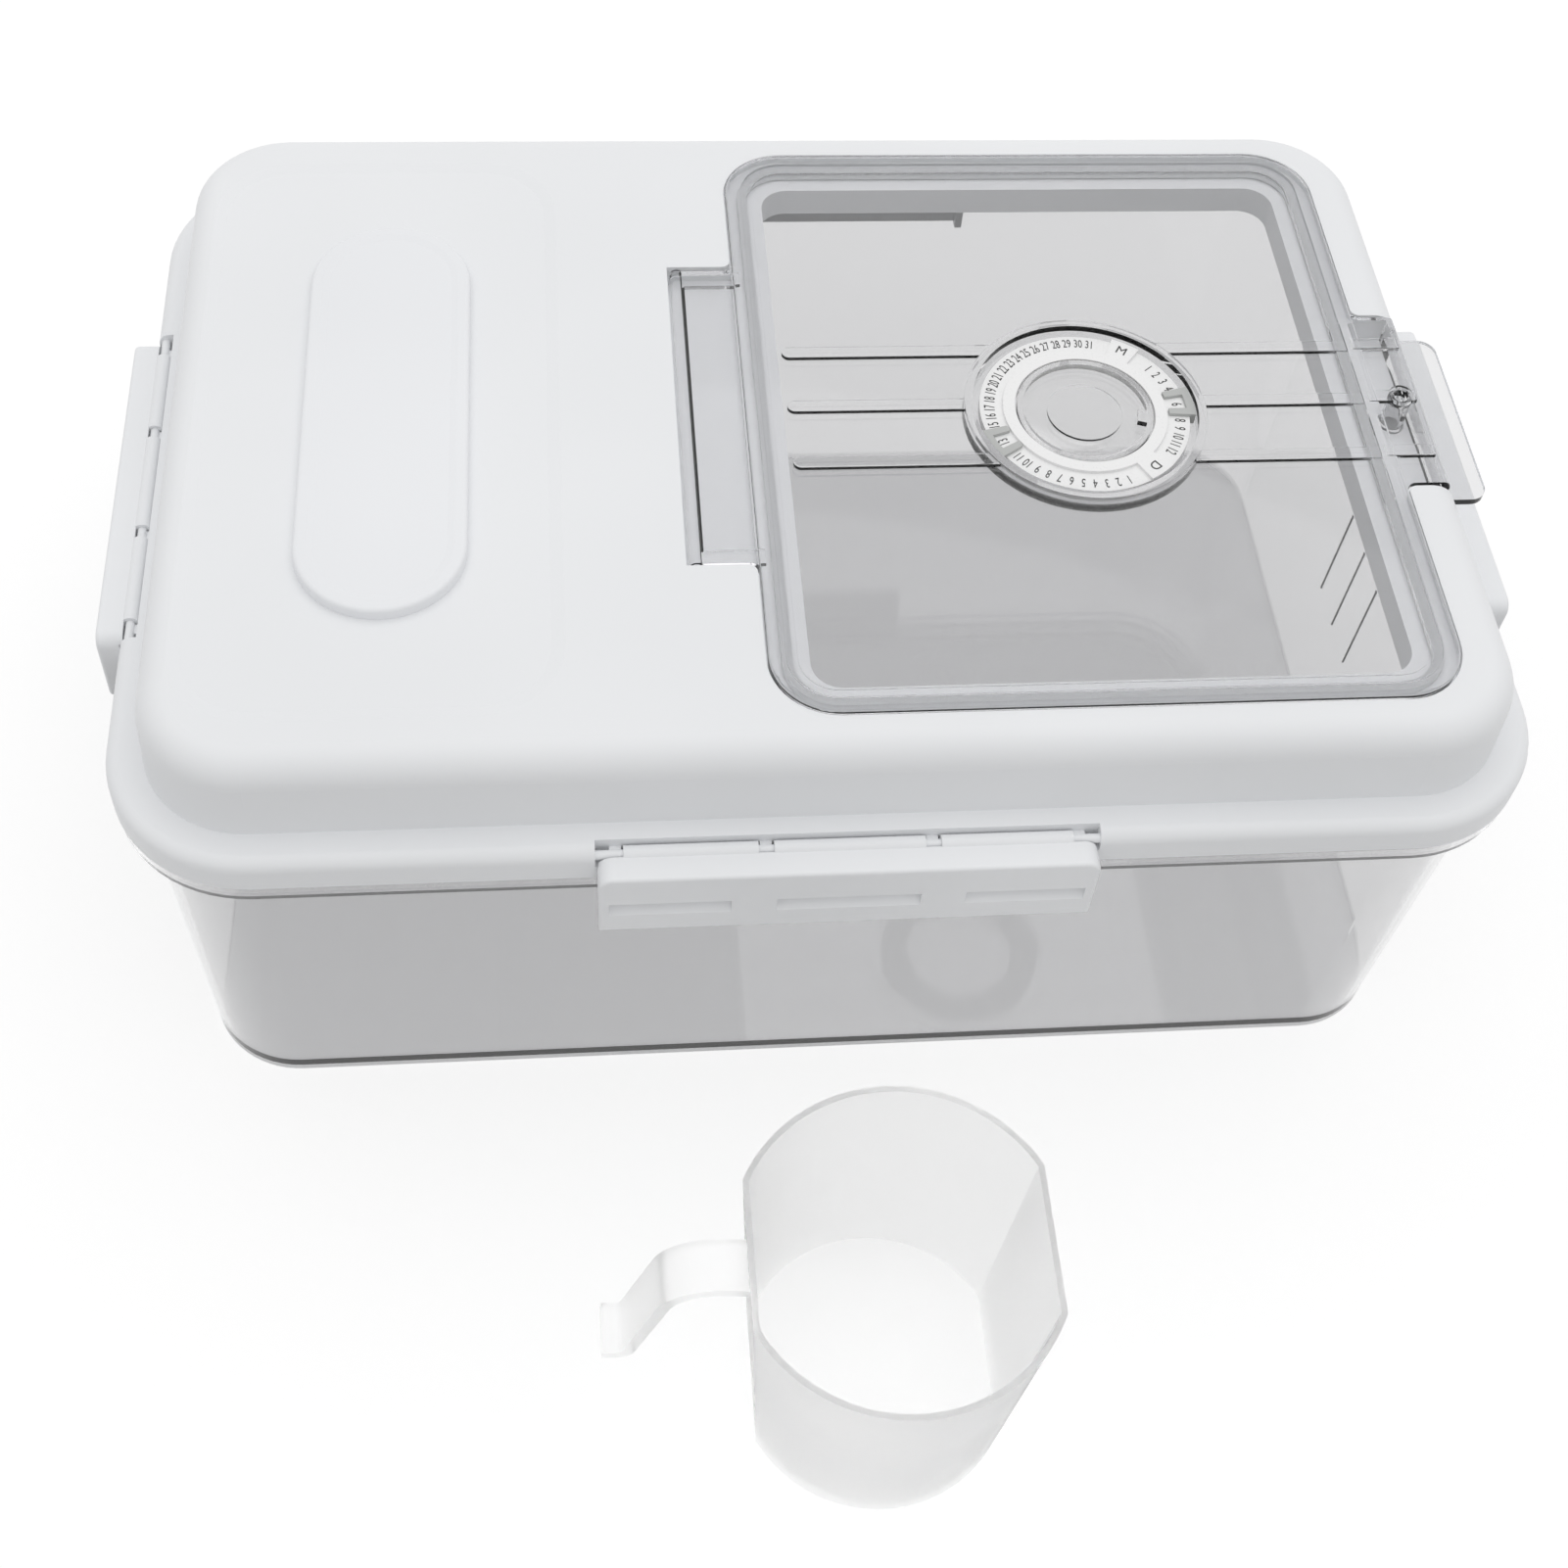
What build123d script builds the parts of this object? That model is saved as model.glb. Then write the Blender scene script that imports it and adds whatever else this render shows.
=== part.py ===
from build123d import *
import os
from math import cos, radians, sin

os.makedirs("parts", exist_ok=True)

# Bread box: clear tub, white lid, flip door with a date dial, four latches and a measuring cup.
# Millimetres. +X runs along the length to the right, +Y to the back, +Z up.
# The origin is the centre of the tub's base face.

# Overall sizes, measured over the rim of the tub and the skirt of the lid
box_length = 370.0
box_width = 254.0
box_corner_r = 37.5
box_height = 151.6

# Clearances between pieces
seat_gap = 0.3
pocket_gap = 0.5
pin_clearance = 0.06
ring_gap = 0.35

# Overlap inside one piece, the run of a cut past a face, and the least flat between two rounds
bite = 0.5
tongue_bite = 2.0
past = 1.0
least_flat = 0.01

# Tub
tub_wall = 2.2
tub_floor = 4.2
tub_foot_height = 2.4
tub_foot_inset = 11.7
tub_base_inset = 11.0
tub_top_inset = 6.1
rim_height = 5.1
rim_lip_wall = 2.0
rim_web = 2.0
rim_edge_inset = 0.5
rim_edge_fillet = 0.8
upstand_inset = 7.1
upstand_wall = 2.0
upstand_height = 5.5
wall_mark_pitch = 15.0
wall_mark_r = 0.475
wall_mark_low_z = 47.0
wall_mark_high_z = 82.0

# Lid
lid_wall = 2.2
dome_height = 24.6
skirt_height = 10.2
ledge_width = 9.4
skirt_fillet = 3.6
dome_fillet = 8.5
dome_draft = 3.0
lid_rib_wall = 1.8
lid_rib_overlap = 2.5
gasket_width = 2.6

# Shallow panel and desiccant well at the left of the lid
panel_margin = 17.5
panel_length_x = 98.0
panel_side_margin = 25.5
panel_corner_r = 22.0
panel_depth = 0.8
panel_draft = 77.0
cover_offset = 2.5
cover_width = 44.3
cover_length = 141.0
cover_height = 3.6
cover_edge_fillet = 1.2
cover_dish_inset = 3.2
cover_dish_depth = 0.45
cover_plug_height = 4.5
cover_plug_wall = 1.6
well_inset = 4.6
well_depth = 15.0
well_wall = 1.8
vent_count = 11
vent_pitch = 9.0
vent_width = 2.6
vent_length = 17.0
sachet_width = 27.0
sachet_length = 96.0
sachet_height = 6.5
sachet_corner_r = 3.0
sachet_fillet = 2.4

# Flip door
door_margin = 25.6
door_side_margin = 23.0
door_length = 178.6
door_corner_r = 17.5
door_proud = 0.8
door_rim_width = 4.5
door_rim_height = 3.5
door_step_width = 3.0
door_step_drop = 1.0
door_panel_drop = 1.6
door_rim_fillet = 0.9
opening_inset = 11.0
opening_corner_r = 8.0
collar_wall = 2.0
collar_depth = 9.0
door_gasket_inset = 3.6
door_gasket_width = 2.8
door_gasket_height = 2.0
rib_pitch = 20.6
rib_width = 4.4
rib_height = 1.0
rib_fillet = 0.45
rib_margin = 11.7

# Hinge of the flip door
hinge_reach = 16.0
hinge_drop = 2.5
hinge_barrel_r = 2.0
hinge_pin_r = 1.5
hinge_pin_length = 2.6
hinge_tongue_half = 54.5
hinge_tongue_thick = 2.0
hinge_arm_width = 5.0
hinge_arm_thick = 3.4
hinge_recess_gap = 1.2
hinge_recess_behind = 2.8
hinge_recess_depth = 7.0
hinge_boss_r = 3.6
hinge_boss_drop = 1.0
hinge_boss_end_wall = 1.2
border_fillet = 3.0

# Snap tongue, finger tab and stud at the right of the flip door
snap_half = 32.0
snap_reach = 13.1
snap_thick = 2.2
snap_drop = 8.6
snap_fillet = 2.4
snap_gap = 1.0
tab_half = 31.0
tab_reach = 13.5
tab_thick = 2.0
tab_corner_r = 5.0
tab_gap = 1.3
stud_offset = 6.6
stud_r = 3.4
stud_bore_r = 2.3
stud_floor = 1.5
stud_proud = 1.4
stud_into_hole = 1.1
stud_hole_gap = 0.5
stud_boss_wall = 1.6
stud_boss_depth = 5.5

# Date dial
dial_margin = 94.7
dial_y = -2.0
dial_lip_r = 33.9
dial_lip_wall = 2.4
dial_lip_proud = 1.4
dial_cup_depth = 5.2
dial_cup_floor = 1.6
dial_gap = 0.6
scale_side_gap = 2.1
scale_inner_r = 19.6
scale_thick = 2.6
index_width = 3.4
index_height = 1.0
index_tab_proud = 0.4
tab_letter_half_deg = 8.0
month_tab_deg = 58.0
day_tab_deg = -53.0
month_step_deg = 6.6
month_first_deg = 38.0
day_step_deg = 7.0
day_first_deg = 288.0
month_shown = 6
day_shown = 13
pointer_half_deg = 10.0
pointer_window_half_deg = 5.2
pointer_band = 2.2
pointer_thick = 1.0
pointer_lift = 0.1
pointer_foot_gap = 0.2
hub_wall = 1.6
hub_floor = 1.6
hub_lens_r = 10.5
hub_lens_height = 0.7
hub_lug_deg = -10.0
hub_lug_half_deg = 8.0
hub_lug_size = 4.2

# Latches
latch_long_half = 63.0
latch_short_half = 55.0
latch_axis_inset = 2.0
latch_axis_drop = 3.0
latch_bar_r = 1.2
latch_knuckle_r = 2.2
latch_flange_thick = 2.4
latch_flange_back = 1.6
latch_plate_out = 6.6
latch_plate_thick = 2.6
latch_below_rim = 9.8
latch_end_wall = 2.2
latch_corner_r = 4.0
latch_front_fillet = 1.0
latch_skirt_gap = 0.6
latch_slot_end = 2.7
latch_slot_gap = 11.45
latch_slot_extra = 5.9
latch_slot_high = 5.2
latch_slot_depth = 3.6
latch_slot_wall = 1.0
latch_slot_ceiling = 1.2
latch_slot_raise = 10.0
latch_knuckle_gap = 0.5
latch_hook_thick = 2.4
latch_hook_gap = 0.5
latch_hook_half = 14.0
latch_hook_offset = 30.0
latch_notch_gap = 0.5
latch_backing_wall = 1.6
latch_lug_half = 1.5
latch_lug_end = 4.5
latch_lug_front = 0.8

# Measuring cup, standing in front of the tub
cup_x = 8.0
cup_y = -212.0
cup_height = 82.0
cup_r = 42.0
cup_flat_half = 37.5
cup_wall = 1.5
cup_base_inset = 4.8
cup_base_thick = 1.6
handle_width = 13.0
handle_thick = 3.2
handle_reach = 30.0
handle_shoulder = 18.0
handle_drop = 36.0
handle_below_rim = 9.0
handle_rise = 3.5
handle_bend_r = 13.0
handle_curl = 6.0
handle_curl_rise = 0.5
handle_curl_r = 3.2
handle_root_depth = 0.8

# Levels worked out from the sizes above
ledge_z = box_height - dome_height
skirt_bottom_z = ledge_z - skirt_height
rim_top_z = skirt_bottom_z - seat_gap
rim_bottom_z = rim_top_z - rim_height
upstand_top_z = rim_top_z + upstand_height
lid_rib_bottom_z = upstand_top_z - lid_rib_overlap
door_top_z = box_height + door_proud
door_under_z = door_top_z - door_rim_height
door_panel_z = door_top_z - door_panel_drop
pocket_floor_z = door_under_z - door_gasket_height - seat_gap
hinge_z = box_height - hinge_drop
hinge_recess_floor_z = box_height - hinge_recess_depth
panel_floor_z = box_height - panel_depth
well_floor_z = panel_floor_z - well_depth
tab_low_z = box_height - snap_drop - tab_thick
notch_floor_z = tab_low_z - tab_gap
stud_bottom_z = notch_floor_z - stud_into_hole
scale_low_z = door_panel_z - dial_cup_depth + dial_cup_floor
latch_axis_z = ledge_z - latch_axis_drop
latch_bottom_z = rim_bottom_z - latch_below_rim
latch_slot_z = latch_bottom_z + latch_slot_raise

# Places and radii worked out from the sizes above
door_width_y = box_width - 2 * door_side_margin
door_right_x = box_length / 2 - door_margin
door_left_x = door_right_x - door_length
door_x = (door_left_x + door_right_x) / 2
rib_left_x = door_left_x + rib_margin
dial_x = door_left_x + dial_margin
hinge_x = door_left_x - hinge_reach
hinge_recess_left_x = hinge_x - hinge_recess_behind
snap_reach_x = door_right_x + snap_reach
tab_reach_x = snap_reach_x + tab_reach
stud_x = door_right_x + stud_offset
panel_width_y = box_width - 2 * panel_side_margin
panel_x = -box_length / 2 + panel_margin + panel_length_x / 2
cover_x = panel_x + cover_offset
dial_well_r = dial_lip_r - dial_lip_wall
scale_outer_r = dial_well_r - scale_side_gap
index_outer_r = scale_inner_r + index_width
pointer_inner_r = index_outer_r + dial_gap
pointer_outer_r = dial_well_r - pocket_gap
hub_outer_r = scale_inner_r - dial_gap


def slab(length, width, radius, low, high, x=0.0, y=0.0, taper=0.0):
    """Rounded rectangle prism from low to high."""
    outline = Pos(x, y, low) * RectangleRounded(length, width, radius)
    return extrude(outline, amount=high - low, taper=taper)


def box_slab(inset, low, high, taper=0.0):
    """Prism with the box's outline, drawn in by inset."""
    return slab(box_length - 2 * inset, box_width - 2 * inset, box_corner_r - inset, low, high, taper=taper)


def box_frustum(low_inset, high_inset, low, high):
    """Drafted prism between two insets of the box's outline."""
    sections = []
    for inset, z in ((low_inset, low), (high_inset, high)):
        outline = RectangleRounded(box_length - 2 * inset, box_width - 2 * inset, box_corner_r - inset)
        sections.append(Pos(0, 0, z) * outline)
    return loft(sections)


def stadium(length, width, low, high, x=0.0, y=0.0):
    """Prism with round ends, its length along Y."""
    outline = Pos(x, y, low) * Rot(0, 0, 90) * SlotOverall(length, width)
    return extrude(outline, amount=high - low)


def block(x0, x1, y0, y1, z0, z1):
    """Plain block between two corners."""
    return Pos((x0 + x1) / 2, (y0 + y1) / 2, (z0 + z1) / 2) * Box(x1 - x0, y1 - y0, z1 - z0)


def rod(radius, start, end):
    """Round rod between two points."""
    path = Edge.make_line(start, end)
    circle = Face(Wire.make_circle(radius, Plane(start, z_dir=path % 0)))
    return Solid.extrude(circle, Vector(*end) - Vector(*start))


def disc(radius, low, high, x=0.0, y=0.0):
    """Round disc from low to high."""
    return extrude(Pos(x, y, low) * Circle(radius), amount=high - low)


def sector(inner_r, outer_r, half_deg, centre_deg, low, high):
    """Ring sector about the dial's axis."""
    start = radians(centre_deg - half_deg)
    end = radians(centre_deg + half_deg)
    middle = radians(centre_deg)

    def at(radius, angle):
        return (radius * cos(angle), radius * sin(angle))

    outline = [
        Line(at(inner_r, start), at(outer_r, start)),
        ThreePointArc(at(outer_r, start), at(outer_r, middle), at(outer_r, end)),
        Line(at(outer_r, end), at(inner_r, end)),
        ThreePointArc(at(inner_r, end), at(inner_r, middle), at(inner_r, start)),
    ]
    return extrude(Pos(dial_x, dial_y, low) * make_face(outline), amount=high - low)


def edges_at(shape, z):
    """Edges that lie flat at a level."""
    return shape.edges().filter_by_position(Axis.Z, z - least_flat, z + least_flat)


def save(name, shape):
    """One STEP file for one sub-part."""
    shape.label = name
    export_step(shape, f"parts/{name}.step")


def tub():
    """Clear tub with a stepped base, a drafted wall, a turned-down rim and an upstand."""
    body = box_slab(tub_foot_inset, 0, tub_foot_height)
    body += box_frustum(tub_base_inset, tub_top_inset, tub_foot_height, rim_top_z)
    rim = box_slab(rim_edge_inset, rim_bottom_z, rim_top_z)
    rim = fillet(edges_at(rim, rim_top_z), rim_edge_fillet)
    body += rim - box_slab(rim_edge_inset + rim_lip_wall, rim_bottom_z, rim_top_z - rim_web)
    body += box_slab(upstand_inset, rim_top_z - rim_web, upstand_top_z)
    inner_base = tub_base_inset + tub_wall
    inner_top = upstand_inset + upstand_wall
    body -= box_frustum(inner_base, inner_top, tub_floor, upstand_top_z)
    return body + wall_marks()


def wall_marks():
    """Three fine upright ribs inside the right wall."""
    marks = []
    base_x = box_length / 2 - tub_base_inset - tub_wall
    lean = (tub_base_inset + tub_wall - upstand_inset - upstand_wall) / (upstand_top_z - tub_floor)
    for step in (-1, 0, 1):
        ends = []
        for z in (wall_mark_low_z, wall_mark_high_z):
            x = base_x + lean * (z - tub_floor)
            ends.append((x, step * wall_mark_pitch, z))
        marks.append(rod(wall_mark_r, ends[0], ends[1]))
    return marks


def lid_outside():
    """Outer form of the lid: skirt, ledge and drafted dome."""
    skirt = box_slab(0, skirt_bottom_z, ledge_z)
    skirt = fillet(edges_at(skirt, ledge_z), skirt_fillet)
    dome = box_slab(ledge_width, ledge_z - lid_wall, box_height, taper=dome_draft)
    dome = fillet(edges_at(dome, box_height), dome_fillet)
    return skirt + dome


def lid_inside():
    """Hollow under the lid, one wall inside its outer form."""
    skirt = box_slab(lid_wall, skirt_bottom_z, ledge_z - lid_wall)
    dome = box_slab(ledge_width + lid_wall, ledge_z - lid_wall - past, box_height - lid_wall, taper=dome_draft)
    dome = fillet(edges_at(dome, box_height - lid_wall), dome_fillet - lid_wall)
    return skirt + dome


def door_outline_slab(grow, low, high):
    """Prism with the door's outline, grown on every side."""
    return slab(door_length + 2 * grow, door_width_y + 2 * grow, door_corner_r + grow, low, high, x=door_x)


def bordered_slab(grow, x0, x1, half, low, high):
    """The door's outline joined to a tongue's, with round inner corners."""
    length = door_length + 2 * grow
    outline = Pos(door_x, 0) * RectangleRounded(length, door_width_y + 2 * grow, door_corner_r + grow)
    outline += Pos((x0 + x1) / 2, 0) * Rectangle(x1 - x0, 2 * half)
    side = -1 if x0 < door_left_x else 1
    edge_x = door_x + side * length / 2
    corners = []
    for vertex in outline.vertices():
        if abs(vertex.X - edge_x) < least_flat and abs(abs(vertex.Y) - half) < least_flat:
            corners.append(vertex)
    outline = fillet(corners, border_fillet - grow)
    return extrude(Pos(0, 0, low) * outline, amount=high - low)


def opening_slab(grow, low, high):
    """Prism with the outline of the opening under the door."""
    length = door_length - 2 * opening_inset + 2 * grow
    width = door_width_y - 2 * opening_inset + 2 * grow
    return slab(length, width, opening_corner_r + grow, low, high, x=door_x)


def hinge_recess(grow, low, high):
    """Block of the hinge recess, which runs into the door's pocket."""
    half = hinge_tongue_half + hinge_recess_gap + grow
    return block(hinge_recess_left_x - grow, door_left_x + grow, -half, half, low, high)


def snap_notch(grow, low, high):
    """Block of the notch for the snap tongue, open at the right."""
    half = snap_half + snap_gap + grow
    return block(door_right_x - grow, box_length / 2, -half, half, low, high)


def well_slab(grow, low, high):
    """Prism with the outline of the desiccant well."""
    return stadium(cover_length - 2 * well_inset + 2 * grow, cover_width - 2 * well_inset + 2 * grow,
                   low, high, x=cover_x)


def latch_places():
    """Name, turn about Z, half span across the box and half length of each latch."""
    return [
        ("front", 0, box_width / 2, latch_long_half),
        ("right", 90, box_length / 2, latch_short_half),
        ("back", 180, box_width / 2, latch_long_half),
        ("left", 270, box_length / 2, latch_short_half),
    ]


def latch_seat(half_span, half_length):
    """Bar with its lugs, and the notch and its backing, for a latch on the front side."""
    axis_y = -(half_span - latch_axis_inset)
    reach = latch_knuckle_r + seat_gap
    half = half_length + latch_notch_gap
    notch = block(-half, half, -half_span - past, axis_y + reach, latch_axis_z - reach, ledge_z + past)
    backing = block(-half - lid_wall, half + lid_wall, -half_span, axis_y + reach + latch_backing_wall,
                    latch_axis_z - reach - latch_backing_wall, ledge_z)
    bar = rod(latch_bar_r, (-half - bite, axis_y, latch_axis_z), (half + bite, axis_y, latch_axis_z))
    lugs = []
    for x in lug_places(half_length):
        lugs.append(block(x - latch_lug_half, x + latch_lug_half, axis_y - latch_lug_front,
                          axis_y + reach + bite, latch_axis_z - reach - bite, latch_axis_z))
    return notch, backing, bar, lugs


def lug_places(half_length):
    """Lug centres along a latch: one near each end and two between."""
    end = half_length - latch_lug_end
    return [-end, -half_length / 3, half_length / 3, end]


def knuckle_spans(half_length):
    """Start and end of each knuckle along a latch, between its lugs."""
    lugs = lug_places(half_length)
    margin = latch_lug_half + latch_knuckle_gap
    return [(lugs[i] + margin, lugs[i + 1] - margin) for i in range(len(lugs) - 1)]


def lid_shell():
    """White lid: shell, door pocket, hinge recess, snap notch, desiccant well and latch bars."""
    outside = lid_outside()
    body = outside - lid_inside()
    rib = box_slab(ledge_width, lid_rib_bottom_z, ledge_z - bite)
    body += rib - box_slab(ledge_width + lid_rib_wall, lid_rib_bottom_z, ledge_z - bite)
    solid_blocks = [
        door_outline_slab(pocket_gap + collar_wall, pocket_floor_z - collar_wall, box_height - past),
        opening_slab(collar_wall, pocket_floor_z - collar_depth, pocket_floor_z),
        hinge_recess(lid_wall, hinge_recess_floor_z - lid_wall, box_height - past),
        snap_notch(lid_wall, notch_floor_z - lid_wall, box_height - past),
        well_slab(well_wall, well_floor_z - well_wall, box_height - past),
        disc(stud_r + stud_hole_gap + stud_boss_wall, notch_floor_z - stud_boss_depth, notch_floor_z, x=stud_x),
    ]
    for side in (-1, 1):
        wall_y = side * (hinge_tongue_half + hinge_recess_gap)
        boss_end = wall_y + side * (hinge_pin_length + hinge_boss_end_wall)
        boss_z = hinge_z - hinge_boss_drop
        solid_blocks.append(rod(hinge_boss_r, (hinge_x, wall_y, boss_z), (hinge_x, boss_end, boss_z)))
    notches = []
    bars = []
    for name, turn, half_span, half_length in latch_places():
        notch, backing, bar, lugs = latch_seat(half_span, half_length)
        solid_blocks.append(Rot(0, 0, turn) * backing)
        notches.append(Rot(0, 0, turn) * notch)
        bars += [Rot(0, 0, turn) * piece for piece in [bar] + lugs]
    for piece in solid_blocks:
        body += piece & outside
    cuts = [
        bordered_slab(pocket_gap, hinge_recess_left_x, door_x, hinge_tongue_half + hinge_recess_gap,
                      pocket_floor_z, box_height + past),
        bordered_slab(pocket_gap, door_x, door_right_x + 2 * border_fillet, snap_half + snap_gap,
                      pocket_floor_z, box_height + past),
        opening_slab(0, lid_rib_bottom_z, box_height + past),
        hinge_recess(0, hinge_recess_floor_z, box_height + past),
        snap_notch(0, notch_floor_z, box_height + past),
        well_slab(0, well_floor_z, box_height + past),
        disc(stud_r + stud_hole_gap, notch_floor_z - stud_boss_depth - past, notch_floor_z + past, x=stud_x),
        hinge_bore(),
    ]
    panel = Pos(panel_x, 0, box_height) * RectangleRounded(panel_length_x, panel_width_y, panel_corner_r)
    cuts.append(extrude(panel, amount=-panel_depth, taper=panel_draft))
    cuts += notches
    for step in range(vent_count):
        y = (step - (vent_count - 1) / 2) * vent_pitch
        cuts.append(block(cover_x - vent_length / 2, cover_x + vent_length / 2, y - vent_width / 2,
                          y + vent_width / 2, well_floor_z - well_wall - past, well_floor_z + past))
    for piece in cuts:
        body -= piece
    for piece in bars:
        body += piece
    return body


def hinge_bore():
    """Bore for both hinge pins of the flip door."""
    reach = hinge_tongue_half + hinge_recess_gap + hinge_pin_length
    return rod(hinge_pin_r + pin_clearance, (hinge_x, -reach, hinge_z), (hinge_x, reach, hinge_z))


def lid_gasket():
    """Silicone ring over the tub's upstand."""
    middle = upstand_inset + upstand_wall / 2
    low = upstand_top_z + seat_gap
    high = ledge_z - lid_wall
    outer = box_slab(middle - gasket_width / 2, low, high)
    return outer - box_slab(middle + gasket_width / 2 - ring_gap, low, high)


def desiccant_cover():
    """Oblong cover with a plug skirt, over the desiccant well."""
    top_z = panel_floor_z + cover_height
    body = stadium(cover_length, cover_width, panel_floor_z, top_z, x=cover_x)
    body = fillet(edges_at(body, top_z), cover_edge_fillet)
    dish = Pos(cover_x, 0, top_z) * Rot(0, 0, 90) * SlotOverall(
        cover_length - 2 * cover_dish_inset, cover_width - 2 * cover_dish_inset)
    body -= extrude(dish, amount=-cover_dish_depth, taper=panel_draft)
    body -= well_slab(-seat_gap - cover_plug_wall, panel_floor_z, top_z - 2 * cover_edge_fillet)
    plug = well_slab(-seat_gap, panel_floor_z - cover_plug_height, panel_floor_z)
    plug -= well_slab(-seat_gap - cover_plug_wall, panel_floor_z - cover_plug_height, panel_floor_z)
    return body + plug


def desiccant_sachet():
    """Pillow of drying agent on the floor of the well."""
    low = well_floor_z
    body = slab(sachet_width, sachet_length, sachet_corner_r, low, low + sachet_height, x=cover_x)
    return fillet(edges_at(body, low + sachet_height), sachet_fillet)


def flip_door():
    """Clear door: rim, step, panel, ribs, dial cup, hinge tongue, snap tongue, tab and stud."""
    body = door_outline_slab(0, door_under_z, door_top_z)
    body = fillet(edges_at(body, door_top_z), door_rim_fillet)
    body -= door_outline_slab(-door_rim_width, door_top_z - door_step_drop, door_top_z + past)
    body -= door_outline_slab(-door_rim_width - door_step_width, door_panel_z, door_top_z + past)
    body += hinge_tongue() + snap_tongue()
    body += ribs()
    cup_low = door_panel_z - dial_cup_depth
    body += disc(dial_lip_r, cup_low, door_panel_z + dial_lip_proud, x=dial_x, y=dial_y)
    body -= disc(dial_well_r, scale_low_z, door_panel_z + dial_lip_proud + past, x=dial_x, y=dial_y)
    body -= disc(stud_bore_r, stud_bottom_z + stud_floor, box_height + stud_proud + past, x=stud_x)
    return body


def hinge_tongue():
    """Hinge plate with its barrel, end arms and pins."""
    top_z = hinge_z + hinge_tongue_thick
    plate = bordered_slab(0, hinge_x, door_x, hinge_tongue_half, hinge_z, top_z)
    plate -= door_outline_slab(-door_rim_width / 2, hinge_z, top_z)
    barrel = rod(hinge_barrel_r, (hinge_x, -hinge_tongue_half, hinge_z), (hinge_x, hinge_tongue_half, hinge_z))
    body = plate + barrel
    for side in (-1, 1):
        inner = side * (hinge_tongue_half - hinge_arm_width)
        outer = side * hinge_tongue_half
        body += block(hinge_x, door_left_x + tongue_bite, min(inner, outer), max(inner, outer),
                      top_z - hinge_arm_thick, top_z)
        pin_end = outer + side * (hinge_recess_gap + hinge_pin_length - seat_gap)
        body += rod(hinge_pin_r, (hinge_x, inner, hinge_z), (hinge_x, pin_end, hinge_z))
    return body


def snap_tongue():
    """Snap tongue that turns down over the lid's edge, with the finger tab and the stud."""
    top_z = box_height
    wall_x = snap_reach_x - snap_thick
    body = block(door_right_x - tongue_bite, snap_reach_x, -snap_half, snap_half, tab_low_z, top_z)
    corner = body.edges().filter_by(Axis.Y).sort_by(Axis.Z)[-2:].sort_by(Axis.X)[-1]
    body = fillet(corner, snap_fillet)
    start_x = door_right_x - tongue_bite - past
    body -= block(start_x, wall_x, -snap_half, snap_half, tab_low_z, top_z - snap_thick)
    plate = bordered_slab(0, door_x, door_right_x + 2 * border_fillet, snap_half, top_z - snap_thick, top_z)
    body += plate - door_outline_slab(-door_rim_width / 2, top_z - snap_thick, top_z)
    tab_high_z = tab_low_z + tab_thick
    tab = slab(2 * (tab_reach_x - wall_x), 2 * tab_half, tab_corner_r, tab_low_z, tab_high_z, x=wall_x)
    body += tab & block(wall_x, tab_reach_x, -tab_half, tab_half, tab_low_z, tab_high_z)
    return body + disc(stud_r, stud_bottom_z, top_z + stud_proud, x=stud_x)


def ribs():
    """Three ribs each side of the dial, their left ends round, the right ones on to the snap tongue."""
    pieces = []
    low_z = door_panel_z - bite
    top_z = door_panel_z + rib_height
    tongue_top_z = box_height + rib_height
    for step in (-1, 0, 1):
        y = step * rib_pitch
        gap = (dial_lip_r ** 2 - (y - dial_y) ** 2) ** 0.5 - past
        left_end = dial_x - gap
        bar = slab(left_end - rib_left_x + rib_width, rib_width, rib_width / 2 - least_flat, low_z, top_z,
                   x=(rib_left_x + left_end + rib_width) / 2, y=y)
        bar = fillet(edges_at(bar, top_z), rib_fillet)
        pieces.append(bar - disc(dial_lip_r - bite, low_z - past, top_z + past, x=dial_x, y=dial_y))
        side_low = y - rib_width / 2
        side_high = y + rib_width / 2
        bar = block(dial_x + gap, door_right_x - past, side_low, side_high, low_z, top_z)
        pieces.append(round_long_edges(bar, top_z))
        bar = block(door_right_x - tongue_bite - past, snap_reach_x - snap_fillet, side_low, side_high,
                    box_height - bite, tongue_top_z)
        pieces.append(round_long_edges(bar, tongue_top_z))
    return pieces


def round_long_edges(bar, top_z):
    """Rib with its two long top edges rounded."""
    return fillet(edges_at(bar, top_z).filter_by(Axis.X), rib_fillet)


def door_gasket():
    """Silicone ring under the door's rim."""
    outer = door_outline_slab(-door_gasket_inset, door_under_z - door_gasket_height, door_under_z)
    return outer - door_outline_slab(-door_gasket_inset - door_gasket_width,
                                     door_under_z - door_gasket_height, door_under_z)


def date_scale():
    """White ring that carries the month and day numbers."""
    low = scale_low_z
    body = disc(scale_outer_r, low, low + scale_thick, x=dial_x, y=dial_y)
    return body - disc(scale_inner_r, low, low + scale_thick, x=dial_x, y=dial_y)


def index_ring():
    """White ring with the two lettered tabs, on top of the scale."""
    low = scale_low_z + scale_thick
    body = disc(index_outer_r, low, low + index_height, x=dial_x, y=dial_y)
    body -= disc(scale_inner_r, low, low + index_height, x=dial_x, y=dial_y)
    for centre in (month_tab_deg, day_tab_deg):
        body += sector(index_outer_r - past, scale_outer_r + index_tab_proud, tab_letter_half_deg, centre,
                       low, low + index_height)
    return body


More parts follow.
